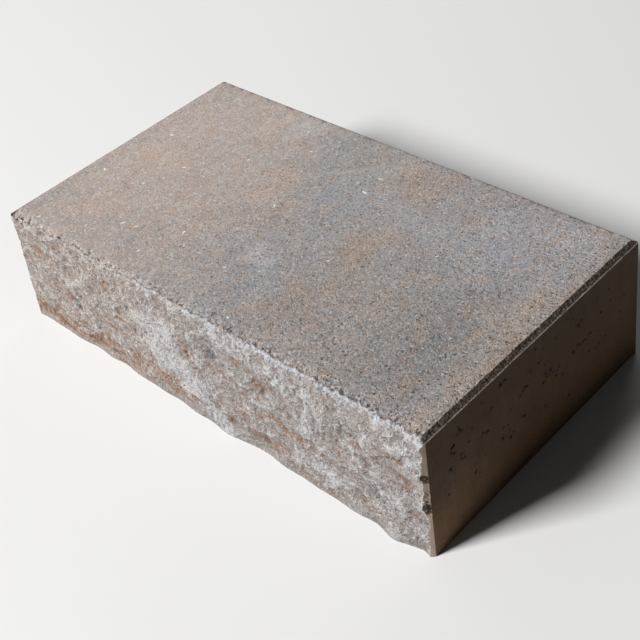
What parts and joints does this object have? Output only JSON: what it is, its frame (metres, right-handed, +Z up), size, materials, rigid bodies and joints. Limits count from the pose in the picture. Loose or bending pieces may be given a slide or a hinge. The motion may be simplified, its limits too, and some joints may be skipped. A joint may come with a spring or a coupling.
{
  "type": "block step",
  "caption": "Solid concrete block step with a flat granular tread, smooth moulded ends and back, a small press chamfer round the tread and a split rock-face riser.",
  "frame": {"origin": "middle of the bed, below the centre of the overall box", "axes": "+X along the step, +Y from the split riser towards the back face, +Z up out of the tread"},
  "size_m": [0.6, 0.3501, 0.15],
  "materials": {
    "concrete": "matte pressed concrete in blended tan and grey, rough pale break on the split face"
  },
  "bodies": {
    "root": {"step_block": "concrete"}
  },
  "joints": []
}
